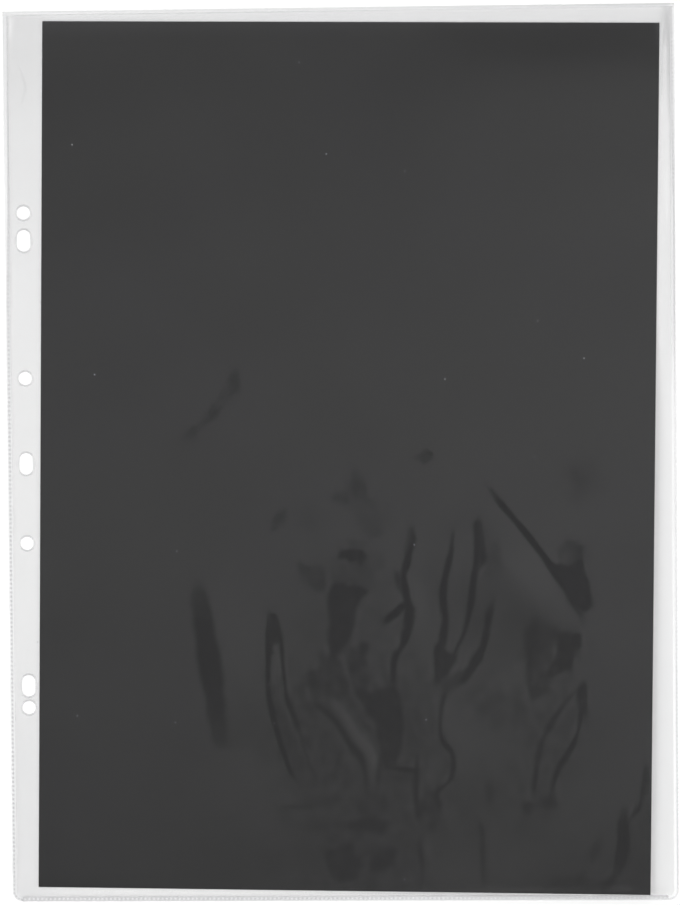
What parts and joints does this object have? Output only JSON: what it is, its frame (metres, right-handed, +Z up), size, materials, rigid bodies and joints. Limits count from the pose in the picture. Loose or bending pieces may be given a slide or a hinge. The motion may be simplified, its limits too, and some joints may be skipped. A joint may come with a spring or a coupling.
{
  "type": "punched display pocket",
  "caption": "Clear flat pocket of welded film, open at the top, with a punched binding edge for ring binders and a loose black sheet inside.",
  "frame": {"origin": "under the middle of the pocket, on the underside of the back film", "axes": "+X from the punched binding edge to the opposite weld, +Y from the bottom weld to the open mouth, +Z up through the films, from back to front"},
  "size_m": [0.3234, 0.432, 0.0006],
  "materials": {
    "film": "clear glossy polypropylene film",
    "weld": "fused clear film with a pressed ladder pattern",
    "black_paper": "matt black paper"
  },
  "bodies": {
    "pocket": {"back_film": "film", "front_film": "film", "binding_weld": "weld", "side_weld": "weld", "bottom_weld": "weld"},
    "sheet": {"sheet": "black_paper"}
  },
  "joints": [
    {"name": "sheet_slide", "type": "slide", "parent": "pocket", "child": "sheet", "axis": [0, 1, 0], "range_m": [0, 0.43]}
  ]
}
